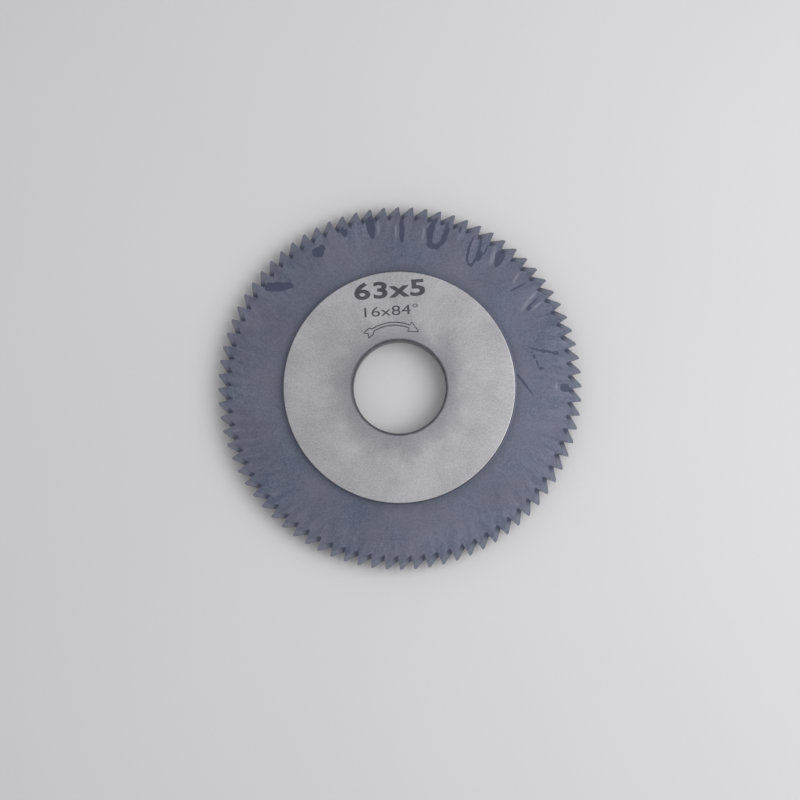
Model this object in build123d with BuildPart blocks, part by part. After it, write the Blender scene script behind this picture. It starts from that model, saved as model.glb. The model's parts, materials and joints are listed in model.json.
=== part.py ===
from build123d import *
import math
import os

# Cutting wheel of a key duplicating machine, in millimetres and degrees.
# It is turned, gashed and ground from one piece of high speed steel.
# The wheel lies on its lower hub face. The origin is the centre of the bore on that face,
# +Z is the wheel's axis, and the cutting faces look clockwise when seen from +Z.

# Main sizes
cutter_diameter = 63.0
hub_width = 5.0
bore_diameter = 16.0
hub_diameter = 40.0
rim_width = 2.6
tip_flat_width = 0.8
included_angle = 84.0

# Tooth form, seen along the axis
tooth_count = 80
rake_angle = -7.0
gash_angle = 58.0
gullet_radius = 0.18
land_width = 0.45
land_relief_angle = 16.0

# Edges
bore_chamfer = 0.3
hub_edge_chamfer = 0.15
hub_root_chamfer = 0.25

# The blank is larger than the tip circle, so that the gashes alone leave the teeth
grinding_allowance = 0.3

# What follows from those sizes
tip_radius = cutter_diameter / 2
bore_radius = bore_diameter / 2
hub_radius = hub_diameter / 2
blank_radius = tip_radius + grinding_allowance
pitch_angle = 360 / tooth_count
middle_height = hub_width / 2
hub_rise = (hub_width - rim_width) / 2
flank_width = (rim_width - tip_flat_width) / 2
flank_drop = flank_width / math.tan(math.radians(included_angle / 2))

# A gash lies between the back of the leading tooth and the cutting face of the following one.
# The following tooth has its tip on the X axis, and the leading tooth is one pitch clockwise.
following_tip = Vector(tip_radius, 0)
face_inward = Vector(-1, 0).rotate(Axis.Z, -rake_angle)
leading_tip = following_tip.rotate(Axis.Z, -pitch_angle)
leading_face_inward = face_inward.rotate(Axis.Z, -pitch_angle)
land_backward = Vector(0, 1).rotate(Axis.Z, land_relief_angle - pitch_angle)
land_end = leading_tip + land_backward * land_width
back_inward = face_inward.rotate(Axis.Z, -gash_angle)
gash_corner = Axis(land_end, back_inward).intersect(Axis(following_tip, face_inward))

# Across the flank the tool is fed inward along the cutting face. That keeps each face one plane,
# parallel to the axis, and slopes the tips by half of the included angle.
tip_travel = flank_drop / math.cos(math.radians(rake_angle))
land_inward = land_backward.rotate(Axis.Z, 90)
tool_travel = tip_travel * leading_face_inward.dot(land_inward) / face_inward.dot(land_inward)
tool_feed = face_inward * tool_travel + Vector(0, 0, flank_width)

# The tool reaches out of the blank, and a little past the leading tip
tool_reach = 2 * (grinding_allowance + tip_travel)
following_top = following_tip - face_inward * tool_reach
leading_side = leading_tip - land_backward * grinding_allowance
leading_top = leading_side - leading_face_inward * tool_reach

# Turned blank: hub, web and plain rim, before the teeth are cut
with BuildPart() as blank:
    with BuildSketch(Plane.XZ) as half_section:
        with BuildLine():
            Polyline(
                (bore_radius, 0),
                (hub_radius, 0),
                (hub_radius, hub_rise),
                (blank_radius, hub_rise),
                (blank_radius, hub_rise + rim_width),
                (hub_radius, hub_rise + rim_width),
                (hub_radius, hub_width),
                (bore_radius, hub_width),
                close=True,
            )
        make_face()
        corner_groups = half_section.vertices().group_by(Axis.X)
        bore_corners = corner_groups[0]
        hub_corners = corner_groups[1].sort_by(Axis.Y)
        chamfer(bore_corners, bore_chamfer)
        chamfer([hub_corners[0], hub_corners[-1]], hub_edge_chamfer)
        chamfer(hub_corners[1:-1], hub_root_chamfer)
    revolve(axis=Axis.Z)

# Gashing tool: straight across the tip flat, sloping in along each flank, and out of the web
with BuildPart() as gash_tool:
    with BuildSketch(Plane.XY.offset(middle_height)) as gash_section:
        with BuildLine():
            Polyline(land_end, gash_corner, following_top, leading_top, leading_side, close=True)
        make_face()
        fillet(gash_section.vertices().sort_by(Axis.X)[0], gullet_radius)
    extrude(amount=tip_flat_width / 2)
    flank_start = gash_tool.faces().sort_by(Axis.Z)[-1]
    extrude(flank_start, amount=tool_feed.length, dir=tool_feed)
    web_exit = gash_tool.faces().sort_by(Axis.Z)[-1]
    extrude(web_exit, amount=grinding_allowance)
    mirror(about=Plane.XY.offset(middle_height))

# Finished wheel: one gash for each tooth, around the blank
with BuildPart() as cutting_wheel:
    add(blank.part)
    with PolarLocations(0, tooth_count):
        add(gash_tool.part, mode=Mode.SUBTRACT)

cutting_wheel.part.label = "cutting_wheel"

os.makedirs("parts", exist_ok=True)
export_step(cutting_wheel.part, "parts/cutting_wheel.step")
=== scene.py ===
"""Visual model of a key cutting wheel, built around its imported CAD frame.

The wheel is one piece of high speed steel: a bright ground hub, a blued web, and eighty saw
teeth round a double-bevelled rim. Its size numbers and a turning arrow are etched into the
upper hub face. Lengths are in metres and angles in radians, in the axes of the frame: the
wheel lies on z = 0, and its axis is +Z.
"""

import json
import logging
import math
from collections.abc import Mapping
from dataclasses import dataclass
from enum import IntEnum
from typing import Any

import bmesh
import bpy
from mathutils import Matrix, Vector


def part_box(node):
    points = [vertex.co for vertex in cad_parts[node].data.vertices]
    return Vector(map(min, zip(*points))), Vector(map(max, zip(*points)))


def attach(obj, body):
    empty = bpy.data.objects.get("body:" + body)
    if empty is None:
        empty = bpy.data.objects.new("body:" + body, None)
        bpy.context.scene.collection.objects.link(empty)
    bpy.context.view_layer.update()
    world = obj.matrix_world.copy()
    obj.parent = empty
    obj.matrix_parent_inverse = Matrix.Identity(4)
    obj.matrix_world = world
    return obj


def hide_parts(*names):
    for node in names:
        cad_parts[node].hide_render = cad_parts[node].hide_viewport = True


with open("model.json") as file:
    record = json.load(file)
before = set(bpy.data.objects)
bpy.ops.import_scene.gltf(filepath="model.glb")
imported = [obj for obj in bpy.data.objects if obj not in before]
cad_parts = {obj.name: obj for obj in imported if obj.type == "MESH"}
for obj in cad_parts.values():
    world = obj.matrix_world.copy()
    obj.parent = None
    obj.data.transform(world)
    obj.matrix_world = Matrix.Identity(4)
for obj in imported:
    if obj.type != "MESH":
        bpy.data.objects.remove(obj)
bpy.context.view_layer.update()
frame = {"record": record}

MM = 0.001
WELD_GAP = 0.001 * MM
NOISE_MEAN = 0.5
CAD_NODE = "cutting_wheel"
CAD_BODY = "root"

Colour = tuple[float, float, float, float]
Socket = bpy.types.NodeSocket
Feed = Socket | Colour | Vector | bpy.types.ID | float | str
log = logging.getLogger("key_cutting_wheel")


class Zone(IntEnum):
    """The finishes of the wheel, numbered as its material slots are."""

    BLUED = 0
    GROUND = 1
    ETCHED = 2


def turned(point: Vector, angle: float) -> Vector:
    """Returns a flat vector turned counter-clockwise by an angle."""
    return Matrix.Rotation(angle, 2) @ point


def polar(radius: float, angle: float) -> Vector:
    """Returns the flat point at a radius and an angle."""
    return Vector((radius * math.cos(angle), radius * math.sin(angle)))


def crossing(first: Vector, along: Vector, second: Vector, across: Vector) -> Vector:
    """Returns where two lines cross, each given by a point on it and its direction."""
    reach = (second - first).cross(across) / along.cross(across)
    return first + along * reach


def arc(centre: Vector, radius: float, start: float, end: float, steps: int) -> list[Vector]:
    """Returns the points that divide an arc into even steps, with both of its ends."""
    angles = [start + (end - start) * step / steps for step in range(steps + 1)]
    return [centre + polar(radius, angle) for angle in angles]


class NodeSketch:
    """Adds nodes to one node tree and links them.

    A Feed is what an input takes: a value, or the output socket that it is linked to.
    """

    def __init__(self, tree: bpy.types.NodeTree) -> None:
        """Takes the tree that the nodes go into."""
        self.tree = tree

    def add(
        self, kind: str, inputs: Mapping[Any, Feed] | None = None, **settings: Any
    ) -> bpy.types.Node:
        """Adds one node.

        Args:
            kind: The node's type name.
            inputs: A value or an output socket for each input, by the input's name or index.
            **settings: Properties of the node.

        Returns:
            The new node.
        """
        node = self.tree.nodes.new(kind)
        for name, value in settings.items():
            setattr(node, name, value)
        self.feed(node, inputs or {})
        return node

    def feed(self, node: bpy.types.Node, inputs: Mapping[Any, Feed]) -> None:
        """Gives inputs of a node their values, or links them to output sockets.

        Args:
            node: The node.
            inputs: A value or an output socket for each input, by the input's name or index.
        """
        for key, value in inputs.items():
            if isinstance(value, Socket):
                self.tree.links.new(value, node.inputs[key])
            else:
                node.inputs[key].default_value = value

    def math(self, operation: str, *values: Feed, clamp: bool = False) -> Socket:
        """Adds one sum and returns its output."""
        settings = {"operation": operation, "use_clamp": clamp}
        return self.add("ShaderNodeMath", dict(enumerate(values)), **settings).outputs[0]

    def vector(self, operation: str, *values: Feed, output: str = "Vector") -> Socket:
        """Adds one vector sum and returns the named output."""
        inputs = dict(enumerate(values))
        return self.add("ShaderNodeVectorMath", inputs, operation=operation).outputs[output]

    def blend(self, share: Feed, first: Feed, second: Feed) -> Socket:
        """Mixes two colours, with a share from 0 to 1 of the second one."""
        # The Mix node has a pair of sockets for each data type, so these go by their numbers
        inputs = {0: share, 6: first, 7: second}
        return self.add("ShaderNodeMix", inputs, data_type="RGBA").outputs[2]

    def ramp(
        self, value: Feed, low: Feed, high: Feed, start: Feed = 0.0, end: Feed = 1.0
    ) -> Socket:
        """Carries a value smoothly from one range to another.

        Args:
            value: The value to carry.
            low: Where the first range starts.
            high: Where the first range ends.
            start: What the low end becomes.
            end: What the high end becomes.

        Returns:
            The carried value, held inside the second range.
        """
        inputs = {
            "Value": value,
            "From Min": low,
            "From Max": high,
            "To Min": start,
            "To Max": end,
        }
        return self.add("ShaderNodeMapRange", inputs, interpolation_type="SMOOTHSTEP").outputs[0]

    def noise(
        self, vector: Feed, scale: Feed, detail: float = 2.0, roughness: float = 0.5
    ) -> Socket:
        """Adds a noise and returns its value, which is NOISE_MEAN on average."""
        inputs = {"Vector": vector, "Scale": scale, "Detail": detail, "Roughness": roughness}
        return self.add("ShaderNodeTexNoise", inputs).outputs[0]

    def stretched(self, noise: Feed, spread: float = 0.2) -> Socket:
        """Stretches a noise, which seldom leaves its mean by more than a spread, from 0 to 1."""
        return self.ramp(noise, NOISE_MEAN - spread, NOISE_MEAN + spread)

    def reach(self, first: Feed, second: Feed) -> Socket:
        """Returns the length of a flat vector with these two parts."""
        flat = self.add("ShaderNodeCombineXYZ", {"X": first, "Y": second}).outputs[0]
        return self.vector("LENGTH", flat, output="Value")

    def radius(self, point: Socket) -> Socket:
        """Returns how far a point is from the Z axis."""
        parts = self.add("ShaderNodeSeparateXYZ", {"Vector": point}).outputs
        return self.reach(parts["X"], parts["Y"])

    def use(
        self, group: bpy.types.NodeTree, inputs: Mapping[str, Feed]
    ) -> Mapping[str, Socket]:
        """Places a shader node group and returns its outputs."""
        return self.add("ShaderNodeGroup", inputs, node_tree=group).outputs


class GroupSketch(NodeSketch):
    """A node group with named inputs and outputs."""

    def __init__(
        self,
        name: str,
        inputs: Mapping[str, tuple[str, Feed | None]],
        outputs: Mapping[str, str],
        kind: str = "ShaderNodeTree",
    ) -> None:
        """Makes the group's tree and its sockets.

        Args:
            name: The group's name.
            inputs: The short socket type and the default of each input.
            outputs: The short socket type of each output.
            kind: The type of the tree.
        """
        super().__init__(bpy.data.node_groups.new(name, kind))
        sockets = self.tree.interface
        for label, (short_type, default) in inputs.items():
            full_type = "NodeSocket" + short_type
            socket = sockets.new_socket(name=label, in_out="INPUT", socket_type=full_type)
            if default is not None:
                socket.default_value = default
        for label, short_type in outputs.items():
            full_type = "NodeSocket" + short_type
            sockets.new_socket(name=label, in_out="OUTPUT", socket_type=full_type)
        self.given = self.add("NodeGroupInput").outputs

    def finish(self, results: Mapping[str, Socket]) -> bpy.types.NodeTree:
        """Links the results to the group's outputs and returns the tree."""
        self.add("NodeGroupOutput", results)
        return self.tree


class TreeSketch(GroupSketch):
    """A Geometry Nodes tree that takes in one geometry and puts out another."""

    def __init__(self, name: str, inputs: Mapping[str, tuple[str, Feed | None]]) -> None:
        """Makes the tree, with the geometry ahead of its other inputs."""
        every_input = {"Geometry": ("Geometry", None), **inputs}
        super().__init__(name, every_input, {"Geometry": "Geometry"}, "GeometryNodeTree")

    def step(
        self, kind: str, inputs: Mapping[Any, Feed] | None = None, **settings: Any
    ) -> Socket:
        """Adds one node and returns its first output."""
        return self.add(kind, inputs, **settings).outputs[0]

    def painted(self, geometry: Feed, material: Feed, where: Feed = True) -> Socket:
        """Sets a material on the chosen faces of a geometry and returns the geometry."""
        inputs = {"Geometry": geometry, "Selection": where, "Material": material}
        return self.step("GeometryNodeSetMaterial", inputs)


def place(name: str, data: bpy.types.ID) -> bpy.types.Object:
    """Puts some data into the scene.

    Args:
        name: The name of the object that shows it.
        data: The data, such as a mesh or a lamp.

    Returns:
        The object, at the origin.
    """
    piece = bpy.data.objects.new(name, data)
    bpy.context.scene.collection.objects.link(piece)
    return piece


def plain_mesh(piece: bpy.types.Object) -> bpy.types.Mesh:
    """Returns a new mesh of a piece with its modifiers applied."""
    graph = bpy.context.evaluated_depsgraph_get()
    return bpy.data.meshes.new_from_object(piece.evaluated_get(graph), depsgraph=graph)


def run_tree(
    start: bpy.types.ID, tree: bpy.types.NodeTree, values: Mapping[str, Feed]
) -> bpy.types.Mesh:
    """Runs a Geometry Nodes tree and takes its result off as a plain mesh.

    Args:
        start: The mesh or the curve that the tree starts from.
        tree: The Geometry Nodes tree.
        values: A value for each of the tree's named inputs.

    Returns:
        The mesh that the tree makes, without the empty slot of what it started from.
    """
    blank = place(tree.name, start)
    modifier = blank.modifiers.new(tree.name, "NODES")
    modifier.node_group = tree
    for socket in tree.interface.items_tree:
        if socket.in_out == "INPUT" and socket.name in values:
            modifier[socket.identifier] = values[socket.name]
    mesh = plain_mesh(blank)
    blank.modifiers.remove(modifier)
    bpy.data.objects.remove(blank)
    if mesh.materials[0] is None:
        mesh.materials.pop(index=0)
    return mesh


def closed_up(mesh: bpy.types.Mesh, gap: float) -> bpy.types.Mesh:
    """Merges the doubles of a mesh and turns its faces outward.

    Args:
        mesh: The mesh, which is changed.
        gap: How near two points are that become one.

    Returns:
        The same mesh.
    """
    shell = bmesh.new()
    shell.from_mesh(mesh)
    bmesh.ops.remove_doubles(shell, verts=shell.verts, dist=gap)
    bmesh.ops.recalc_face_normals(shell, faces=shell.faces)
    shell.to_mesh(mesh)
    shell.free()
    return mesh


@dataclass(frozen=True)
class SteelEffects:
    """The shader node groups that more than one finish of the wheel uses."""

    grain: bpy.types.NodeTree
    streaks: bpy.types.NodeTree
    uneven_ring: bpy.types.NodeTree
    oil_mark: bpy.types.NodeTree

    @classmethod
    def make(cls) -> "SteelEffects":
        """Builds each group once."""
        return cls(cls._grain(), cls._streaks(), cls._uneven_ring(), cls._oil_mark())

    @staticmethod
    def _grain() -> bpy.types.NodeTree:
        """Builds the fine grain of a surface and its slow clouds.

        Returns:
            A group that puts out both, each NOISE_MEAN on average.
        """
        inputs = {
            "Vector": ("Vector", None),
            "Grain Size": ("Float", 0.3 * MM),
            "Cloud Size": ("Float", 8 * MM),
        }
        group = GroupSketch("Fine grain", inputs, {"Grain": "Float", "Clouds": "Float"})
        point = group.given["Vector"]
        grain_scale = group.math("DIVIDE", 1.0, group.given["Grain Size"])
        cloud_scale = group.math("DIVIDE", 1.0, group.given["Cloud Size"])
        grain = group.noise(point, grain_scale, detail=3.0, roughness=0.65)
        clouds = group.noise(point, cloud_scale, detail=3.0)
        return group.finish({"Grain": grain, "Clouds": clouds})

    @staticmethod
    def _streaks() -> bpy.types.NodeTree:
        """Builds streaks that run outward from the axis and lean as they go.

        Returns:
            A group that puts out the streaks, NOISE_MEAN on average.
        """
        inputs = {
            "Vector": ("Vector", None),
            "Streaks Per Radian": ("Float", 60.0),
            "Lean": ("Float", 40.0),
            "Streak Length": ("Float", 3 * MM),
        }
        group = GroupSketch("Outward streaks", inputs, {"Streaks": "Float"})
        given = group.given
        parts = group.add("ShaderNodeSeparateXYZ", {"Vector": given["Vector"]}).outputs
        radius = group.radius(given["Vector"])
        angle = group.math("ARCTAN2", parts["Y"], parts["X"])
        leaning = group.math("MULTIPLY_ADD", radius, given["Lean"], angle)
        density = given["Streaks Per Radian"]
        round_x = group.math("MULTIPLY", group.math("COSINE", leaning), density)
        round_y = group.math("MULTIPLY", group.math("SINE", leaning), density)
        outward = group.math("DIVIDE", radius, given["Streak Length"])
        sweep = {"X": round_x, "Y": round_y, "Z": outward}
        swept = group.add("ShaderNodeCombineXYZ", sweep).outputs[0]
        return group.finish({"Streaks": group.noise(swept, 1.0, detail=4.0, roughness=0.7)})

    @staticmethod
    def _uneven_ring() -> bpy.types.NodeTree:
        """Builds an uneven ring round the axis, for wear, painted shade and darker bands along
        round edges.

        Returns:
            A group that puts out a mask, which is 1 on the edge and fades unevenly beside it.
        """
        inputs = {
            "Vector": ("Vector", None),
            "Edge Radius": ("Float", 20 * MM),
            "Width": ("Float", 0.4 * MM),
            "Patch Size": ("Float", 1.5 * MM),
        }
        group = GroupSketch("Uneven ring", inputs, {"Mask": "Float"})
        given = group.given
        radius = group.radius(given["Vector"])
        gap = group.math("ABSOLUTE", group.math("SUBTRACT", radius, given["Edge Radius"]))
        patch_scale = group.math("DIVIDE", 1.0, given["Patch Size"])
        uneven = group.noise(given["Vector"], patch_scale, detail=3.0)
        relative = group.math("DIVIDE", uneven, NOISE_MEAN)
        reach = group.math("MULTIPLY", given["Width"], relative)
        return group.finish({"Mask": group.ramp(gap, 0.0, reach, 1.0, 0.0)})

    @staticmethod
    def _oil_mark() -> bpy.types.NodeTree:
        """Builds one dried oil mark on a flat face.

        Returns:
            A group that puts out the mask of a blunt oval with an uneven edge. A taper widens
            the oval's outer end, and it is blunter the further its bluntness is above 2.
        """
        inputs = {
            "Vector": ("Vector", None),
            "Centre": ("Vector", (0.0, 0.0, 0.0)),
            "Turn": ("Float", 0.0),
            "Half Length": ("Float", 2 * MM),
            "Half Width": ("Float", 1 * MM),
            "Taper": ("Float", 0.0),
            "Bluntness": ("Float", 2.15),
            "Wobble Size": ("Float", 1 * MM),
            "Wobble": ("Float", 0.4),
            "Edge Softness": ("Float", 0.1),
        }
        group = GroupSketch("Oil mark", inputs, {"Mask": "Float"})
        given = group.given
        offset = group.vector("SUBTRACT", given["Vector"], given["Centre"])
        back_turn = group.math("MULTIPLY", given["Turn"], -1.0)
        turning = {"Vector": offset, "Angle": back_turn}
        own = group.add("ShaderNodeVectorRotate", turning, rotation_type="Z_AXIS").outputs[0]
        parts = group.add("ShaderNodeSeparateXYZ", {"Vector": own}).outputs
        along = group.math("DIVIDE", parts["X"], given["Half Length"])
        widened = group.math("MULTIPLY_ADD", along, given["Taper"], 1.0)
        half_width = group.math("MULTIPLY", given["Half Width"], widened)
        across = group.math("DIVIDE", parts["Y"], half_width)

        powers = [
            group.math("POWER", group.math("ABSOLUTE", part), given["Bluntness"])
            for part in (along, across)
        ]
        root = group.math("DIVIDE", 1.0, given["Bluntness"])
        reach = group.math("POWER", group.math("ADD", *powers), root)
        wobble_scale = group.math("DIVIDE", 1.0, given["Wobble Size"])
        noise = group.noise(given["Vector"], wobble_scale)
        centred = group.math("SUBTRACT", noise, NOISE_MEAN)
        wobble = group.math("MULTIPLY", centred, given["Wobble"])
        edge = group.math("SUBTRACT", 1.0, given["Edge Softness"])
        return group.finish(
            {"Mask": group.ramp(group.math("ADD", reach, wobble), edge, 1.0, 1.0, 0.0)}
        )


@dataclass(frozen=True)
class OilMark:
    """One dried mark on the upper face of the web, along a radius of it unless it leans.

    The radius and the bearing give the place of its middle. To keep a list of marks short, its
    lengths are in millimetres and its angles in degrees. A window is a mark that is left clear
    inside this one, and opens it where it reaches past its end.
    """

    radius: float
    bearing: float
    half_length: float
    half_width: float
    lean: float = 0.0
    taper: float = 0.0
    window: "OilMark | None" = None

    def inputs(self) -> dict[str, Feed]:
        """Lists the mark's own values for its node group.

        Returns:
            The values, by the names of the group's inputs.
        """
        return {
            "Centre": polar(self.radius * MM, math.radians(self.bearing)).to_3d(),
            "Turn": math.radians(self.bearing + self.lean),
            "Half Length": self.half_length * MM,
            "Half Width": self.half_width * MM,
            "Taper": self.taper,
        }


@dataclass(frozen=True)
class Band:
    """An uneven band of wear, painted shade or darker tone along a round edge, and how much of it
    shows there.
    """

    width: float
    share: float
    patch_size: float = 1.5 * MM


class FinishSketch(NodeSketch):
    """The nodes of one finish, which read the object's own coordinates."""

    def __init__(self, name: str, effects: SteelEffects) -> None:
        """Makes the material.

        Args:
            name: The material's name.
            effects: The shared node groups.
        """
        self.material = bpy.data.materials.new(name)
        self.material.use_nodes = True
        super().__init__(self.material.node_tree)
        self.effects = effects
        self.point = self.add("ShaderNodeTexCoord").outputs["Object"]

    def grain(self, grain_size: float, cloud_size: float) -> Mapping[str, Socket]:
        """Places the grain and returns its two outputs, Grain and Clouds."""
        inputs = {"Vector": self.point, "Grain Size": grain_size, "Cloud Size": cloud_size}
        return self.use(self.effects.grain, inputs)

    def streaks(self, density: float, lean: float, length: float) -> Socket:
        """Places outward streaks.

        Args:
            density: How many streaks there are to a radian.
            lean: How many radians they turn for each metre that they run outward.
            length: About how long each one is.

        Returns:
            The streaks, NOISE_MEAN on average.
        """
        inputs = {
            "Vector": self.point,
            "Streaks Per Radian": density,
            "Lean": lean,
            "Streak Length": length,
        }
        return self.use(self.effects.streaks, inputs)["Streaks"]

    def tint(self, base: Feed, mask: Feed, share: float, colour: Feed) -> Socket:
        """Lays a colour over a base, at a mask from 0 to 1 times a share."""
        return self.blend(self.math("MULTIPLY", mask, share), base, colour)

    def band(self, base: Feed, radius: float, band: Band, colour: Colour) -> Socket:
        """Lays a band of one colour over another, along a round edge.

        Args:
            base: The colour below.
            radius: The radius of the edge.
            band: The band's sizes.
            colour: The band's colour.

        Returns:
            The mixed colour.
        """
        inputs = {
            "Vector": self.point,
            "Edge Radius": radius,
            "Width": band.width,
            "Patch Size": band.patch_size,
        }
        mask = self.use(self.effects.uneven_ring, inputs)["Mask"]
        return self.tint(base, mask, band.share, colour)

    def mark(self, mark: OilMark, softness: float) -> Socket:
        """Places one mark.

        Args:
            mark: The mark.
            softness: The share of its reach over which its edge fades.

        Returns:
            Its mask, without its window.
        """
        inputs = {"Vector": self.point, "Edge Softness": softness, **mark.inputs()}
        mask = self.use(self.effects.oil_mark, inputs)["Mask"]
        if mark.window is None:
            return mask
        return self.math("SUBTRACT", mask, self.mark(mark.window, softness), clamp=True)

    def marks(self, marks: tuple[OilMark, ...], softness: float, where: Feed) -> Socket:
        """Places several marks.

        Args:
            marks: The marks.
            softness: The share of its reach over which the edge of each one fades.
            where: The part of the surface that they are on, from 0 to 1.

        Returns:
            The mask of all the marks.
        """
        joined: Feed = 0.0
        for mark in marks:
            joined = self.math("MAXIMUM", joined, self.mark(mark, softness))
        return self.math("MULTIPLY", joined, where)

    def dress(
        self, relief: float, height: Feed, inputs: Mapping[str, Feed]
    ) -> bpy.types.Material:
        """Feeds the Principled shader.

        Args:
            relief: How deep the relief of the surface is.
            height: The height of that relief, from 0 to 1.
            inputs: A value or a socket for each input of the shader.

        Returns:
            The finished material.
        """
        bump = self.add("ShaderNodeBump", {"Height": height, "Distance": relief})
        shader = self.tree.nodes["Principled BSDF"]
        self.feed(shader, {"Normal": bump.outputs[0], **inputs})
        return self.material


@dataclass(frozen=True)
class BluedSteel:
    """The dull blue-grey oxide on the web and the teeth, with dried oil near the teeth.

    A share is how much of an effect shows where it is strongest, from 0 to 1. The flanks face
    the surroundings near the floor, so they are painted paler than the web, as painted light, to
    look lit from above; towards the gullets they are painted darker, as painted shade.
    """

    tip_radius: float
    rim_half_width: float
    hub_root_radius: float
    middle_height: float
    dark: Colour = (0.067, 0.081, 0.122, 1.0)
    light: Colour = (0.146, 0.157, 0.208, 1.0)
    lilac: Colour = (0.134, 0.124, 0.156, 1.0)
    oiled: Colour = (0.044, 0.052, 0.087, 1.0)
    # gullet and flank colour the flanks: darker at the gullets as painted shade, paler outward as
    # painted light
    gullet: Colour = (0.110, 0.121, 0.180, 1.0)
    flank: Colour = (0.234, 0.247, 0.306, 1.0)
    worn: Colour = (0.300, 0.308, 0.350, 1.0)
    pale_streak: Colour = (0.205, 0.215, 0.265, 1.0)
    # darkening is the colour of the painted shade at the hub's root
    darkening: Colour = (0.052, 0.055, 0.080, 1.0)
    metallic: float = 0.65
    roughness: float = 0.42
    dulling: float = 0.08
    oil_gloss: float = 0.1
    relief: float = 0.004 * MM
    grain_size: float = 0.3 * MM
    cloud_size: float = 9 * MM
    lilac_size: float = 6 * MM
    grain_share: float = 0.6
    cloud_share: float = 0.35
    lilac_share: float = 0.3
    flank_share: float = 0.75
    pale_streak_share: float = 0.6
    pale_streak_softness: float = 0.8
    oil_share: float = 0.85
    oil_softness: float = 0.1
    flank_margin: float = 0.01 * MM
    gullet_radius: float = 29.3 * MM
    back_radius: float = 30.3 * MM
    tip_wear: Band = Band(0.25 * MM, 0.5)
    root_shade: Band = Band(1.6 * MM, 0.28)
    streak_density: float = 26.0
    streak_lean: float = 8.0
    streak_length: float = 4 * MM
    streak_share: float = 0.5
    streaks_from: float = 23 * MM
    streaks_full: float = 28 * MM
    oil_marks: tuple[OilMark, ...] = (
        OilMark(28.3, 100.0, 2.2, 0.80, taper=0.3),
        OilMark(27.5, 89.0, 2.6, 0.48, taper=-0.15),
        OilMark(27.8, 76.0, 3.35, 1.9, lean=-3, window=OilMark(28.7, 75.7, 3.3, 0.9, lean=-3)),
        OilMark(27.05, 61.4, 3.0, 1.22, lean=12, window=OilMark(27.5, 61.7, 2.9, 0.68, lean=12)),
        OilMark(26.7, 58.3, 1.0, 0.38, lean=5),
        OilMark(28.1, 57.8, 1.05, 0.15, lean=10),
        OilMark(28.15, 52.1, 1.6, 0.84, lean=14, taper=0.45),
        OilMark(27.0, 40.1, 1.6, 0.18, lean=-13, taper=-0.4),
        OilMark(26.25, 31.4, 0.55, 0.38, lean=29),
        OilMark(27.6, 32.4, 1.2, 0.17, lean=10, taper=-0.3),
        OilMark(29.3, 68.8, 0.6, 0.22),
        OilMark(22.9, 89.1, 0.2, 0.20),
        OilMark(27.4, 120.8, 1.08, 0.98, lean=-121),
        OilMark(27.65, 119.2, 0.65, 0.7),
        OilMark(28.7, 109.4, 0.95, 0.62, window=OilMark(29.3, 108.7, 0.24, 0.22)),
        OilMark(29.3, 110.9, 0.5, 0.3),
        OilMark(27.3, 140.0, 0.84, 2.65, lean=-45),
        OilMark(28.6, 142.0, 0.7, 0.9, lean=-30),
        OilMark(28.5, 359.7, 0.85, 0.78),
        OilMark(21.7, 1.15, 2.5, 0.22, lean=-54, taper=-0.5),
        OilMark(23.7, 14.6, 0.2, 0.2),
        OilMark(23.85, 12.8, 0.4, 0.26, lean=-83),
        OilMark(24.2, 9.9, 0.6, 0.17, lean=-73),
        OilMark(24.7, 7.5, 0.48, 0.27, lean=-17),
        OilMark(24.5, 15.4, 1.3, 0.18, lean=-31),
        OilMark(25.55, 14.1, 0.55, 0.33, lean=-30),
        OilMark(26.55, 13.3, 0.8, 0.25, lean=-27),
        OilMark(27.6, 12.2, 0.65, 0.38, lean=-22),
    )
    pale_streaks: tuple[OilMark, ...] = (
        OilMark(27.2, 91.2, 1.6, 0.32),
        OilMark(27.0, 81.0, 1.8, 0.36, lean=4),
        OilMark(27.9, 54.4, 2.3, 0.62, lean=16),
        OilMark(27.7, 43.1, 1.7, 0.3, lean=15),
        OilMark(27.8, 34.3, 1.9, 0.45, lean=8),
        OilMark(27.6, 30.6, 2.0, 0.38, lean=12),
        OilMark(25.9, 32.9, 1.7, 0.42, lean=20),
        OilMark(28.0, 97.4, 2.0, 0.34, lean=-3),
        OilMark(27.1, 0.3, 1.1, 0.36, lean=85),
    )

    def material(self, effects: SteelEffects) -> bpy.types.Material:
        """Builds the material.

        Args:
            effects: The shared node groups.

        Returns:
            The material of the web and the teeth.
        """
        sketch = FinishSketch("blued_steel", effects)
        height = sketch.add("ShaderNodeSeparateXYZ", {"Vector": sketch.point}).outputs["Z"]
        grain = sketch.grain(self.grain_size, self.cloud_size)
        blued = sketch.blend(self._tone(sketch, grain), self.dark, self.light)
        tinge = sketch.stretched(sketch.noise(sketch.point, 1 / self.lilac_size))
        oxide = sketch.tint(blued, tinge, self.lilac_share, self.lilac)

        flank_rise = self.rim_half_width - self.flank_margin
        rise = sketch.math("ABSOLUTE", sketch.math("SUBTRACT", height, self.middle_height))
        on_flank = sketch.math("LESS_THAN", rise, flank_rise)
        # On the flanks, painted shade darkens the gullets and painted light makes the rest paler
        # than the web
        outward = sketch.ramp(sketch.radius(sketch.point), self.gullet_radius, self.back_radius)
        flank = sketch.blend(outward, self.gullet, self.flank)
        flank_light_and_shade = sketch.tint(oxide, on_flank, self.flank_share, flank)
        rubbed = sketch.band(flank_light_and_shade, self.tip_radius, self.tip_wear, self.worn)
        # Painted shade: the web is darkened in the corner at the hub's root
        root_shaded = sketch.band(rubbed, self.hub_root_radius, self.root_shade, self.darkening)

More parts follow.
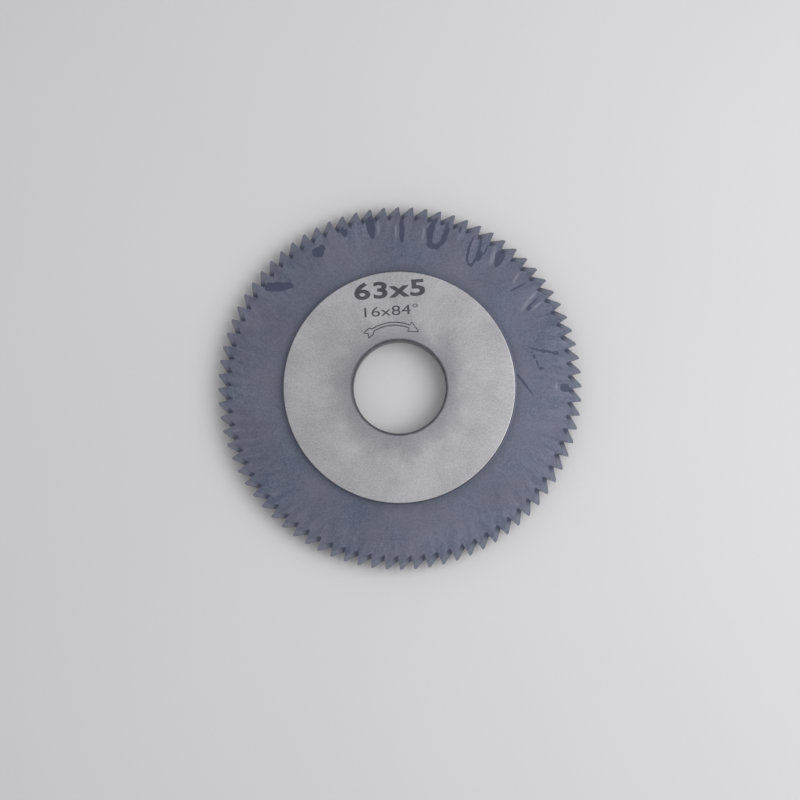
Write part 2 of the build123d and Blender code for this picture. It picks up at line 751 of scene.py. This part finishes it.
        on_web = sketch.math("GREATER_THAN", height, self.middle_height + flank_rise)
        # The web is painted paler in streaks near the teeth
        pale_streak = sketch.marks(self.pale_streaks, self.pale_streak_softness, on_web)
        oil = sketch.marks(self.oil_marks, self.oil_softness, on_web)
        pale = sketch.tint(root_shaded, pale_streak, self.pale_streak_share, self.pale_streak)
        colour = sketch.tint(pale, oil, self.oil_share, self.oiled)
        grainy = sketch.stretched(grain["Grain"])
        dulled = sketch.math("MULTIPLY_ADD", grainy, self.dulling, self.roughness)
        roughness = sketch.math("MULTIPLY_ADD", oil, -self.oil_gloss, dulled)
        inputs = {"Base Color": colour, "Roughness": roughness, "Metallic": self.metallic}
        return sketch.dress(self.relief, grain["Grain"], inputs)

    def _tone(self, sketch: FinishSketch, grain: Mapping[str, Socket]) -> Socket:
        """Mixes the grain, the clouds and the dried streaks, which show near the teeth.

        Args:
            sketch: The material's nodes.
            grain: The grain and the clouds.

        Returns:
            How light the oxide is, from 0 to 1.
        """
        grainy = sketch.math("MULTIPLY", sketch.stretched(grain["Grain"]), self.grain_share)
        cloudy = sketch.stretched(grain["Clouds"])
        soft = sketch.math("MULTIPLY_ADD", cloudy, self.cloud_share, grainy)
        streaks = sketch.streaks(self.streak_density, self.streak_lean, self.streak_length)
        streaky = sketch.math("SUBTRACT", sketch.stretched(streaks, spread=0.15), NOISE_MEAN)
        radius = sketch.radius(sketch.point)
        near_teeth = sketch.ramp(radius, self.streaks_from, self.streaks_full)
        share = sketch.math("MULTIPLY", near_teeth, self.streak_share)
        return sketch.math("MULTIPLY_ADD", streaky, share, soft, clamp=True)


@dataclass(frozen=True)
class GroundSteel:
    """The bright ground steel of the hub faces and the bore, with fine scores, darker towards the
    bore.

    A share is how much of an effect shows where it is strongest, from 0 to 1.
    """

    hub_radius: float
    bore_radius: float
    lip_radius: float
    dark: Colour = (0.240, 0.239, 0.257, 1.0)
    light: Colour = (0.430, 0.428, 0.448, 1.0)
    bright: Colour = (0.560, 0.557, 0.565, 1.0)
    # darkening is the colour laid towards the bore, along its lip and on its wall
    darkening: Colour = (0.066, 0.066, 0.084, 1.0)
    metallic: float = 1.0
    roughness: float = 0.36
    dulling: float = 0.08
    relief: float = 0.003 * MM
    grain_size: float = 0.28 * MM
    cloud_size: float = 6 * MM
    grain_share: float = 0.4
    cloud_share: float = 0.35
    score_density: float = 150.0
    score_lean: float = 12.0
    score_length: float = 3 * MM
    score_share: float = 0.25
    grain_relief: float = 0.5
    edge_wear: Band = Band(0.3 * MM, 0.15)
    bore_darkening: Band = Band(6 * MM, 0.4, 4 * MM)
    lip_darkening: Band = Band(0.3 * MM, 0.7)
    wall_darkening: Band = Band(0.1 * MM, 0.35)

    def material(self, effects: SteelEffects) -> bpy.types.Material:
        """Builds the material.

        Args:
            effects: The shared node groups.

        Returns:
            The material of the hub faces and the bore.
        """
        sketch = FinishSketch("ground_steel", effects)
        grain = sketch.grain(self.grain_size, self.cloud_size)
        scores = sketch.streaks(self.score_density, self.score_lean, self.score_length)
        scored = sketch.stretched(scores)
        score_tone = sketch.math("MULTIPLY", scored, self.score_share)
        grainy = sketch.stretched(grain["Grain"])
        fine = sketch.math("MULTIPLY_ADD", grainy, self.grain_share, score_tone)
        cloudy = sketch.stretched(grain["Clouds"], spread=0.25)
        tone = sketch.math("MULTIPLY_ADD", cloudy, self.cloud_share, fine)

        ground = sketch.blend(tone, self.dark, self.light)
        rubbed = sketch.band(ground, self.hub_radius, self.edge_wear, self.bright)
        # The ground steel is laid darker towards the bore, along the bore's lip and on the bore
        # wall
        darkened_to_bore = sketch.band(rubbed, self.bore_radius, self.bore_darkening, self.darkening)
        lipped = sketch.band(darkened_to_bore, self.lip_radius, self.lip_darkening, self.darkening)
        colour = sketch.band(lipped, self.bore_radius, self.wall_darkening, self.darkening)
        roughness = sketch.math("MULTIPLY_ADD", scored, self.dulling, self.roughness)
        height = sketch.math("MULTIPLY_ADD", grain["Grain"], self.grain_relief, scores)
        inputs = {"Base Color": colour, "Roughness": roughness, "Metallic": self.metallic}
        return sketch.dress(self.relief, height, inputs)


@dataclass(frozen=True)
class EtchedSteel:
    """The dark oxide that an etching leaves on the floor of each mark."""

    dark: Colour = (0.042, 0.041, 0.053, 1.0)
    light: Colour = (0.082, 0.080, 0.098, 1.0)
    metallic: float = 0.4
    roughness: float = 0.6
    relief: float = 0.006 * MM
    grain_size: float = 0.2 * MM
    cloud_size: float = 1.5 * MM

    def material(self, effects: SteelEffects) -> bpy.types.Material:
        """Builds the material.

        Args:
            effects: The shared node groups.

        Returns:
            The material of the etched marks.
        """
        sketch = FinishSketch("etched_steel", effects)
        grain = sketch.grain(self.grain_size, self.cloud_size)
        both = sketch.math("ADD", grain["Clouds"], grain["Grain"])
        mottled = sketch.stretched(sketch.math("DIVIDE", both, 2.0), spread=0.15)
        colour = sketch.blend(mottled, self.dark, self.light)
        inputs = {"Base Color": colour, "Roughness": self.roughness, "Metallic": self.metallic}
        return sketch.dress(self.relief, grain["Grain"], inputs)


@dataclass(frozen=True)
class PalePaper:
    """The matt pale floor."""

    dark: Colour = (0.640, 0.635, 0.645, 1.0)
    light: Colour = (0.680, 0.675, 0.685, 1.0)
    roughness: float = 0.8
    relief: float = 0.02 * MM
    grain_size: float = 1 * MM
    cloud_size: float = 60 * MM

    def material(self, effects: SteelEffects) -> bpy.types.Material:
        """Builds the material.

        Args:
            effects: The shared node groups.

        Returns:
            The material of the floor.
        """
        sketch = FinishSketch("pale_paper", effects)
        grain = sketch.grain(self.grain_size, self.cloud_size)
        colour = sketch.blend(grain["Clouds"], self.dark, self.light)
        inputs = {"Base Color": colour, "Roughness": self.roughness}
        return sketch.dress(self.relief, grain["Grain"], inputs)


@dataclass(frozen=True)
class ToothForm:
    """A saw tooth: a flat cutting face, a narrow land, a straight back and a round gullet.

    A gash lies between the leading tip and the following one. The following tip is on the X
    axis, and the leading tip is one pitch clockwise.
    """

    tip_radius: float
    count: int = 80
    rake: float = math.radians(-7)
    gash: float = math.radians(58)
    gullet_radius: float = 0.18 * MM
    gullet_steps: int = 6
    land_width: float = 0.45 * MM
    land_relief: float = math.radians(16)
    tip_flat: float = 0.8 * MM
    rim_width: float = 2.6 * MM
    half_angle: float = math.radians(42)

    @property
    def pitch(self) -> float:
        """The angle from one tooth to the next."""
        return math.tau / self.count

    def outline(self, level: float) -> list[Vector]:
        """Draws the edge of one gash at one height of the rim.

        Args:
            level: 0 on the tip flat, and 1 where the flank meets the web.

        Returns:
            Flat points from the leading tip to the following one.
        """
        face = turned(Vector((-1.0, 0.0)), -self.rake)
        following_tip = Vector((self.tip_radius, 0.0))
        leading_tip = turned(following_tip, -self.pitch)
        leading_face = turned(face, -self.pitch)
        land = turned(Vector((0.0, 1.0)), self.land_relief - self.pitch)
        land_end = leading_tip + land * self.land_width
        back = turned(face, -self.gash)
        corner = crossing(land_end, back, following_tip, face)

        to_centre = -(back + face).normalized()
        centre = corner + to_centre * (self.gullet_radius / math.sin(self.gash / 2))
        start = math.atan2(*reversed(turned(back, math.pi / 2)))
        sweep = math.pi - self.gash
        gullet = arc(centre, self.gullet_radius, start, start - sweep, self.gullet_steps)

        flank_drop = (self.rim_width - self.tip_flat) / 2 / math.tan(self.half_angle)
        tip_travel = level * flank_drop / math.cos(self.rake)
        land_normal = turned(land, math.pi / 2)
        share = leading_face.dot(land_normal) / face.dot(land_normal)
        tool_shift = face * (tip_travel * share)
        moved = [point + tool_shift for point in [land_end, *gullet]]
        return [
            leading_tip + leading_face * tip_travel,
            *moved,
            following_tip + face * tip_travel,
        ]


@dataclass(frozen=True)
class EtchedLine:
    """One straight line of etched characters.

    The weight thickens the strokes, as a share of the letters' own size, and the spacing
    spreads the characters.
    """

    text: str
    centre: tuple[float, float]
    width: float
    height: float
    weight: float
    spacing: float
    curve_steps: int = 4

    def mesh(self, turn: float, depth: float) -> bpy.types.Mesh:
        """Cuts the characters out as closed solids.

        Args:
            turn: The angle of the line.
            depth: How thick the solids are.

        Returns:
            The solids, with the middle of their height on z = 0.
        """
        letters = bpy.data.curves.new(self.text, "FONT")
        letters.body = self.text
        letters.offset = self.weight
        letters.space_character = self.spacing
        letters.extrude = 1.0
        letters.resolution_u = self.curve_steps
        blank = place(self.text, letters)
        mesh = plain_mesh(blank)
        bpy.data.objects.remove(blank)
        across = [vertex.co.x for vertex in mesh.vertices]
        up = [vertex.co.y for vertex in mesh.vertices]
        middle = Vector(((min(across) + max(across)) / 2, (min(up) + max(up)) / 2, 0.0))
        scale = (self.width / (max(across) - min(across)), self.height / (max(up) - min(up)))
        mesh.transform(Matrix.Translation(-middle))
        # Letters are extruded by the same amount below their plane as above it
        mesh.transform(Matrix.Diagonal((*scale, depth / (2 * letters.extrude), 1.0)))
        mesh.transform(Matrix.Rotation(turn, 4, "Z"))
        mesh.transform(Matrix.Translation((*self.centre, 0.0)))
        return closed_up(mesh, WELD_GAP)


@dataclass(frozen=True)
class TurningArrow:
    """The outlined arrow that shows which way the wheel turns.

    It is bent round its own arc. Bearings are along that arc, and half widths across it.
    """

    centre: tuple[float, float] = (-0.8 * MM, 4.0 * MM)
    radius: float = 6.95 * MM
    shaft_half_width: float = 0.25 * MM
    head_half_width: float = 0.88 * MM
    tail_half_width: float = 0.64 * MM
    tip_bearing: float = math.radians(53)
    head_bearing: float = math.radians(68)
    shaft_bearing: float = math.radians(122)
    tail_bearing: float = math.radians(125.5)
    notch_bearing: float = math.radians(131)
    prong_bearing: float = math.radians(135)
    line_width: float = 0.19 * MM
    corner_radius: float = 0.06 * MM
    arc_steps: int = 24

    def path(self) -> list[Vector]:
        """Draws the closed outline of the arrow.

        Returns:
            Flat points, from the arrow's tip round its outer side.
        """
        middle = Vector(self.centre)
        shaft, head, tail = self.shaft_half_width, self.head_half_width, self.tail_half_width
        outer = arc(
            middle, self.radius + shaft, self.head_bearing, self.shaft_bearing, self.arc_steps
        )
        inner = arc(
            middle, self.radius - shaft, self.shaft_bearing, self.head_bearing, self.arc_steps
        )
        return [
            middle + polar(self.radius, self.tip_bearing),
            middle + polar(self.radius + head, self.head_bearing),
            *outer,
            middle + polar(self.radius + tail, self.tail_bearing),
            middle + polar(self.radius + tail, self.prong_bearing),
            middle + polar(self.radius, self.notch_bearing),
            middle + polar(self.radius - tail, self.prong_bearing),
            middle + polar(self.radius - tail, self.tail_bearing),
            *inner,
            middle + polar(self.radius - head, self.head_bearing),
        ]

    def mesh(self, depth: float, material: bpy.types.Material) -> bpy.types.Mesh:
        """Runs a flat bar along the outline.

        Args:
            depth: How thick the bar is.
            material: The bar's material.

        Returns:
            The bar, with the middle of its height on z = 0.
        """
        points = self.path()
        line = bpy.data.curves.new("arrow_outline", "CURVE")
        line.dimensions = "3D"
        spline = line.splines.new("POLY")
        spline.points.add(len(points) - 1)
        for target, point in zip(spline.points, points):
            target.co = (point.x, point.y, 0.0, 1.0)
        spline.use_cyclic_u = True
        values = {
            "Line Width": self.line_width,
            "Depth": depth,
            "Corner Radius": self.corner_radius,
            "Material": material,
        }
        return closed_up(run_tree(line, self._tree(depth), values), WELD_GAP)

    def _tree(self, depth: float) -> bpy.types.NodeTree:
        """Builds the Geometry Nodes tree that runs a bar along a curve.

        Args:
            depth: How thick the bar is unless the modifier says otherwise.

        Returns:
            A tree that rounds the curve's corners and gives the bar its section and material.
        """
        inputs = {
            "Line Width": ("Float", self.line_width),
            "Depth": ("Float", depth),
            "Corner Radius": ("Float", self.corner_radius),
            "Material": ("Material", None),
        }
        sketch = TreeSketch("Etched outline", inputs)
        given = sketch.given
        corners = {"Curve": given["Geometry"], "Radius": given["Corner Radius"]}
        rounded = sketch.step("GeometryNodeFilletCurve", corners)
        size = {"Width": given["Line Width"], "Height": given["Depth"]}
        section = sketch.step("GeometryNodeCurvePrimitiveQuadrilateral", size)
        bar = sketch.step("GeometryNodeCurveToMesh", {"Curve": rounded, "Profile Curve": section})
        real = sketch.step("GeometryNodeRealizeInstances", {"Geometry": bar})
        return sketch.finish({"Geometry": sketch.painted(real, given["Material"])})


@dataclass(frozen=True)
class HubEtching:
    """Everything that is etched into the upper hub face."""

    turn: float = math.radians(4)
    depth: float = 0.03 * MM
    overlap: float = 0.5 * MM
    lines: tuple[EtchedLine, ...] = (
        EtchedLine("63x5", (-1.66 * MM, 16.9 * MM), 12.3 * MM, 3.0 * MM, 0.03, 1.1),
        EtchedLine("16x84°", (-1.37 * MM, 13.25 * MM), 9.3 * MM, 1.75 * MM, 0.0, 1.0),
    )
    arrow: TurningArrow = TurningArrow()

    def cutter(self, face_height: float, material: bpy.types.Material) -> bpy.types.Object:
        """Makes the solids that are cut out of the hub face.

        Args:
            face_height: The height of the hub face.
            material: The material of the marks.

        Returns:
            One object with the solids of every mark.
        """
        thickness = self.depth + self.overlap
        meshes = [line.mesh(self.turn, thickness) for line in self.lines]
        meshes.append(self.arrow.mesh(thickness, material))
        joined = bmesh.new()
        for mesh in meshes:
            joined.from_mesh(mesh)
        marks = bpy.data.meshes.new("etching_cutter")
        joined.to_mesh(marks)
        joined.free()
        marks.materials.append(material)
        rise = face_height - self.depth + thickness / 2
        marks.transform(Matrix.Translation((0.0, 0.0, rise)))
        return place("etching_cutter", marks)


@dataclass(frozen=True)
class CuttingWheel:
    """The whole wheel, as one closed body.

    Each web ring is the radius of a circle of points on the web, and how far those points follow
    the tooth outline instead of being evenly spaced. A face is level when the Z part of its
    normal is more than level_from.
    """

    teeth: ToothForm
    width: float
    bore_radius: float
    etching: HubEtching = HubEtching()
    hub_radius: float = 20.0 * MM
    hub_edge_radius: float = 0.15 * MM
    root_radius: float = 0.25 * MM
    bore_chamfer: float = 0.3 * MM
    web_rings: tuple[tuple[float, float], ...] = ((28.4 * MM, 1.0), (26 * MM, 0.4), (23 * MM, 0.0))
    round_steps: int = 4
    edge_break: float = 0.015 * MM
    sharp_angle: float = math.radians(30)
    level_from: float = 0.9999

    @classmethod
    def from_frame(cls) -> "CuttingWheel":
        """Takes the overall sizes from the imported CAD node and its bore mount.

        Returns:
            A wheel of those sizes.
        """
        low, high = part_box(CAD_NODE)
        mounts = {mount["name"]: mount for mount in frame["record"]["mounts"]}
        bore_radius = mounts["bore"]["dims"]["r_mm"] * MM
        return cls(ToothForm(high.x), high.z - low.z, bore_radius)

    def rings(self) -> list[tuple[Zone, list[Vector]]]:
        """Lists the rings of the upper half, from the tips in to the bore.

        Returns:
            Each ring's points over one pitch, with their height above the middle of the
            wheel, and the finish of the strip that leads to the ring.
        """
        rim, face = self.teeth.rim_width / 2, self.width / 2
        tip_edge, web_edge = self.teeth.outline(0.0), self.teeth.outline(1.0)
        tip_height = self.teeth.tip_flat / 2
        root_centre = Vector((self.hub_radius + self.root_radius, rim + self.root_radius))
        root = arc(root_centre, self.root_radius, -math.pi / 2, -math.pi, self.round_steps)
        edge_centre = Vector((self.hub_radius - self.hub_edge_radius, face - self.hub_edge_radius))
        edge = arc(edge_centre, self.hub_edge_radius, 0.0, math.pi / 2, self.round_steps)
        blued = [(radius, rim, spread) for radius, spread in self.web_rings]
        blued += [(point.x, point.y, 0.0) for point in [*root, edge[0]]]
        ground = [(point.x, point.y, 0.0) for point in edge[1:]]
        ground.append((self.bore_radius + self.bore_chamfer, face, 0.0))
        ground.append((self.bore_radius, face - self.bore_chamfer, 0.0))
        listed = [
            (Zone.BLUED, [Vector((point.x, point.y, tip_height)) for point in tip_edge]),
            (Zone.BLUED, [Vector((point.x, point.y, rim)) for point in web_edge]),
        ]
        for zone, circles in ((Zone.BLUED, blued), (Zone.GROUND, ground)):
            for radius, height, spread in circles:
                listed.append((zone, self._circle(radius, height, spread, web_edge)))
        return listed

    def _circle(
        self, radius: float, height: float, spread: float, edge: list[Vector]
    ) -> list[Vector]:
        """Places a ring's points on a circle over one pitch.

        Args:
            radius: The circle's radius.
            height: Its height.
            spread: 0 for evenly spaced points, and 1 for points in line with the edge's.
            edge: The tooth outline that the ring leads to.

        Returns:
            As many points as the edge has.
        """
        first = math.atan2(edge[0].y, edge[0].x)
        points = []
        for step, point in enumerate(edge):
            even = first + self.teeth.pitch * step / (len(edge) - 1)
            own = math.atan2(point.y, point.x)
            flat = polar(radius, even + (own - even) * spread)
            points.append(Vector((flat.x, flat.y, height)))
        return points

    def sector(self) -> bpy.types.Mesh:
        """Builds the skin of the wheel over one pitch.

        Returns:
            The mesh, open only at its two cut sides. Each face holds its finish's number.
        """
        upper = self.rings()
        lower = [(zone, [Vector((p.x, p.y, -p.z)) for p in ring]) for zone, ring in upper]
        # The loop runs from the tips in to the bore, down the bore, and back out to the tips
        loop = [ring for _, ring in upper] + [ring for _, ring in reversed(lower)]
        zones = [zone for zone, _ in upper[1:]] + [Zone.GROUND]
        zones += [zone for zone, _ in reversed(lower[1:])] + [Zone.BLUED]
        middle = Vector((0.0, 0.0, self.width / 2))
        columns = len(loop[0])
        vertices = [point + middle for ring in loop for point in ring]
        faces, zone_numbers = [], []
        for row, zone in enumerate(zones):
            near, far = row * columns, (row + 1) % len(loop) * columns
            for column in range(columns - 1):
                faces.append((near + column, near + column + 1, far + column + 1, far + column))
                zone_numbers.append(int(zone))
        mesh = bpy.data.meshes.new("tooth_sector")
        mesh.from_pydata(vertices, [], faces)
        mesh.attributes.new("zone", "INT", "FACE").data.foreach_set("value", zone_numbers)
        return mesh

    def tree(self) -> bpy.types.NodeTree:
        """Builds the Geometry Nodes tree that repeats one sector round the axis.

        Returns:
            A tree that welds the sectors into one body and sets a material on each zone.
        """
        inputs = {
            "Tooth Count": ("Int", self.teeth.count),
            "Weld Gap": ("Float", WELD_GAP),
            "Blued": ("Material", None),
            "Ground": ("Material", None),
        }
        sketch = TreeSketch("Toothed body", inputs)
        given = sketch.given
        points = sketch.step("GeometryNodePoints", {"Count": given["Tooth Count"]})
        index = sketch.step("GeometryNodeInputIndex")
        pitch = sketch.math("DIVIDE", math.tau, given["Tooth Count"])
        euler = sketch.step("ShaderNodeCombineXYZ", {"Z": sketch.math("MULTIPLY", index, pitch)})
        turn = sketch.step("FunctionNodeEulerToRotation", {"Euler": euler})
        placing = {"Points": points, "Instance": given["Geometry"], "Rotation": turn}
        sectors = sketch.step("GeometryNodeInstanceOnPoints", placing)
        real = sketch.step("GeometryNodeRealizeInstances", {"Geometry": sectors})
        welding = {"Geometry": real, "Distance": given["Weld Gap"]}
        body = sketch.step("GeometryNodeMergeByDistance", welding)
        zone = sketch.step("GeometryNodeInputNamedAttribute", {"Name": "zone"}, data_type="INT")
        # The Compare node, too, has a pair of sockets for each data type
        same = {"data_type": "INT", "operation": "EQUAL"}
        is_ground = sketch.step("FunctionNodeCompare", {2: zone, 3: int(Zone.GROUND)}, **same)
        blued = sketch.painted(body, given["Blued"])
        return sketch.finish({"Geometry": sketch.painted(blued, given["Ground"], is_ground)})

    def finishes(self, effects: SteelEffects) -> dict[Zone, bpy.types.Material]:
        """Makes the material of each zone, with its wear, painted shade and darker bands along
        this wheel's own edges.

        Args:
            effects: The shared node groups.

        Returns:
            The materials, by zone.
        """
        blued = BluedSteel(
            tip_radius=self.teeth.tip_radius,
            rim_half_width=self.teeth.rim_width / 2,
            hub_root_radius=self.hub_radius + self.root_radius,
            middle_height=self.width / 2,
        )
        ground = GroundSteel(
            hub_radius=self.hub_radius,
            bore_radius=self.bore_radius,
            lip_radius=self.bore_radius + self.bore_chamfer,
        )
        return {
            Zone.BLUED: blued.material(effects),
            Zone.GROUND: ground.material(effects),
            Zone.ETCHED: EtchedSteel().material(effects),
        }

    def build(self, effects: SteelEffects) -> bpy.types.Object:
        """Builds the wheel and etches its hub face.

        Args:
            effects: The shared node groups.

        Returns:
            The finished piece, with its place in its mesh.
        """
        materials = self.finishes(effects)
        values = {
            "Tooth Count": self.teeth.count,
            "Weld Gap": WELD_GAP,
            "Blued": materials[Zone.BLUED],
            "Ground": materials[Zone.GROUND],
        }
        body = closed_up(run_tree(self.sector(), self.tree(), values), WELD_GAP)
        # The edges are broken before the marks are cut, so that the marks keep sharp edges
        blank = place("blank", body)
        broken = blank.modifiers.new("edge break", "BEVEL")
        broken.limit_method = "ANGLE"
        broken.angle_limit = self.sharp_angle
        broken.width = self.edge_break
        broken.segments = 1
        marks = self.etching.cutter(self.width, materials[Zone.ETCHED])
        etched = blank.modifiers.new("etching", "BOOLEAN")
        etched.operation = "DIFFERENCE"
        etched.solver = "EXACT"
        etched.material_mode = "TRANSFER"
        etched.object = marks
        mesh = plain_mesh(blank)
        bpy.data.objects.remove(blank)
        bpy.data.objects.remove(marks)
        return place("toothed_wheel", self._smoothed(mesh))

    def _smoothed(self, mesh: bpy.types.Mesh) -> bpy.types.Mesh:
        """Smooths the rounds of a mesh, and keeps its broad faces flat right up to them.

        Args:
            mesh: The mesh of the wheel.

        Returns:
            A copy of it whose normals follow its broadest faces.
        """
        mesh.shade_smooth()
        mesh.set_sharp_from_angle(angle=self.sharp_angle)
        shell = bmesh.new()
        shell.from_mesh(mesh)
        for edge in shell.edges:
            level = [abs(face.normal.z) > self.level_from for face in edge.link_faces]
            edge.smooth = edge.smooth and all(level) == any(level)
        shell.to_mesh(mesh)
        shell.free()
        blank = place("blank", mesh)
        flattened = blank.modifiers.new("flat faces", "WEIGHTED_NORMAL")
        flattened.mode = "FACE_AREA"
        flattened.keep_sharp = True
        smoothed = plain_mesh(blank)
        bpy.data.objects.remove(blank)
        smoothed.name = "toothed_wheel"
        return smoothed


@dataclass(frozen=True)
class SoftLamp:
    """One square soft lamp."""

    name: str
    position: tuple[float, float, float]
    size: float
    power: float

    def hang(self, target: Vector) -> bpy.types.Object:
        """Hangs the lamp so that it faces a point.

        Args:
            target: The point.

        Returns:
            The lamp.
        """
        light = bpy.data.lights.new(self.name, "AREA")
        light.shape = "SQUARE"
        light.size = self.size
        light.energy = self.power
        lamp = place(self.name, light)
        lamp.location = self.position
        lamp.rotation_euler = (target - lamp.location).to_track_quat("-Z", "Y").to_euler()
        return lamp


@dataclass(frozen=True)
class Studio:
    """The pale floor, the soft lamps and the pale surroundings."""

    floor_half_width: float = 1.5
    floor_drop: float = 0.02 * MM
    surroundings: Colour = (0.86, 0.86, 0.87, 1.0)
    seen_strength: float = 0.78
    lighting_strength: float = 0.62
    lamps: tuple[SoftLamp, ...] = (
        SoftLamp("key_lamp", (0.17, 0.0, 0.23), 0.22, 0.42),
        SoftLamp("top_lamp", (0.25, 0.10, 1.10), 1.5, 1.75),
    )

    def build(self, effects: SteelEffects) -> bpy.types.Object:
        """Lays the floor, hangs the lamps and lights the surroundings.

        Args:
            effects: The shared node groups.

        Returns:
            The floor.
        """
        half, level = self.floor_half_width, -self.floor_drop
        signs = ((-1, -1), (1, -1), (1, 1), (-1, 1))
        corners = [(across * half, along * half, level) for across, along in signs]
        sheet = bpy.data.meshes.new("floor")
        sheet.from_pydata(corners, [], [(0, 1, 2, 3)])
        sheet.materials.append(PalePaper().material(effects))
        floor = place("floor", sheet)
        for lamp in self.lamps:
            lamp.hang(Vector((0.0, 0.0, 0.0)))
        self._light_surroundings()
        return floor

    def _light_surroundings(self) -> None:
        """Makes the surroundings paler where they are seen or mirrored than as a lamp."""
        world = bpy.data.worlds.new("surroundings")
        world.use_nodes = True
        sketch = NodeSketch(world.node_tree)
        rays = sketch.add("ShaderNodeLightPath").outputs
        mirrored = sketch.math("MAXIMUM", rays["Is Glossy Ray"], rays["Is Transmission Ray"])
        seen = sketch.math("MAXIMUM", rays["Is Camera Ray"], mirrored)
        strength = sketch.ramp(seen, 0.0, 1.0, self.lighting_strength, self.seen_strength)
        background = world.node_tree.nodes["Background"]
        sketch.feed(background, {"Color": self.surroundings, "Strength": strength})
        bpy.context.scene.world = world


@dataclass(frozen=True)
class PhotoCamera:
    """The camera, which looks down on the wheel as in the photograph.

    The wheel pixel is where the wheel's middle shows, from the photograph's upper left corner.
    """

    photo_pixels: int = 800
    pixels_per_metre: float = 5770.0
    wheel_pixel: tuple[float, float] = (399.6, 387.9)
    distance: float = 0.40
    tilt: float = math.radians(3.0)
    lean: float = math.radians(1.0)
    roll: float = math.radians(-0.15)
    near_limit: float = 0.01

    def build(self, centre: Vector) -> bpy.types.Object:
        """Sets the camera up so that a point shows at the wheel's pixel.

        Args:
            centre: The middle of the wheel.

        Returns:
            The scene's camera.
        """
        sideways = math.sin(self.lean)
        down = math.sin(self.tilt)
        back = Vector((sideways, -down, math.sqrt(1 - sideways**2 - down**2)))
        level_up = (Vector((0.0, 1.0, 0.0)) - back * back.y).normalized()
        up = Matrix.Rotation(self.roll, 3, back) @ level_up
        right = up.cross(back)
        middle = self.photo_pixels / 2
        aside = (middle - self.wheel_pixel[0]) / self.pixels_per_metre
        below = (middle - self.wheel_pixel[1]) / self.pixels_per_metre
        aim = centre + right * aside - up * below
        lens = bpy.data.cameras.new("photo_camera")
        field = self.photo_pixels / self.pixels_per_metre
        lens.lens = lens.sensor_width * self.distance / field
        lens.clip_start = self.near_limit
        camera = place("photo_camera", lens)
        axes = Matrix((right, up, back)).transposed()
        camera.matrix_world = Matrix.Translation(aim + back * self.distance) @ axes.to_4x4()
        bpy.context.scene.camera = camera
        return camera


def main() -> None:
    """Builds the wheel, its studio and its camera in order."""
    logging.basicConfig(level=logging.INFO, format="%(name)s: %(message)s")
    bpy.context.scene.view_settings.view_transform = "Standard"
    effects = SteelEffects.make()
    wheel = CuttingWheel.from_frame()
    piece = wheel.build(effects)
    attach(piece, CAD_BODY)
    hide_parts(CAD_NODE)
    log.info("%s has %d faces", piece.name, len(piece.data.polygons))
    floor = Studio().build(effects)
    log.info("%s is laid", floor.name)
    camera = PhotoCamera().build(Vector((0.0, 0.0, wheel.width / 2)))
    log.info("%s stands at %s", camera.name, tuple(camera.location))


if __name__ == "__main__":
    main()
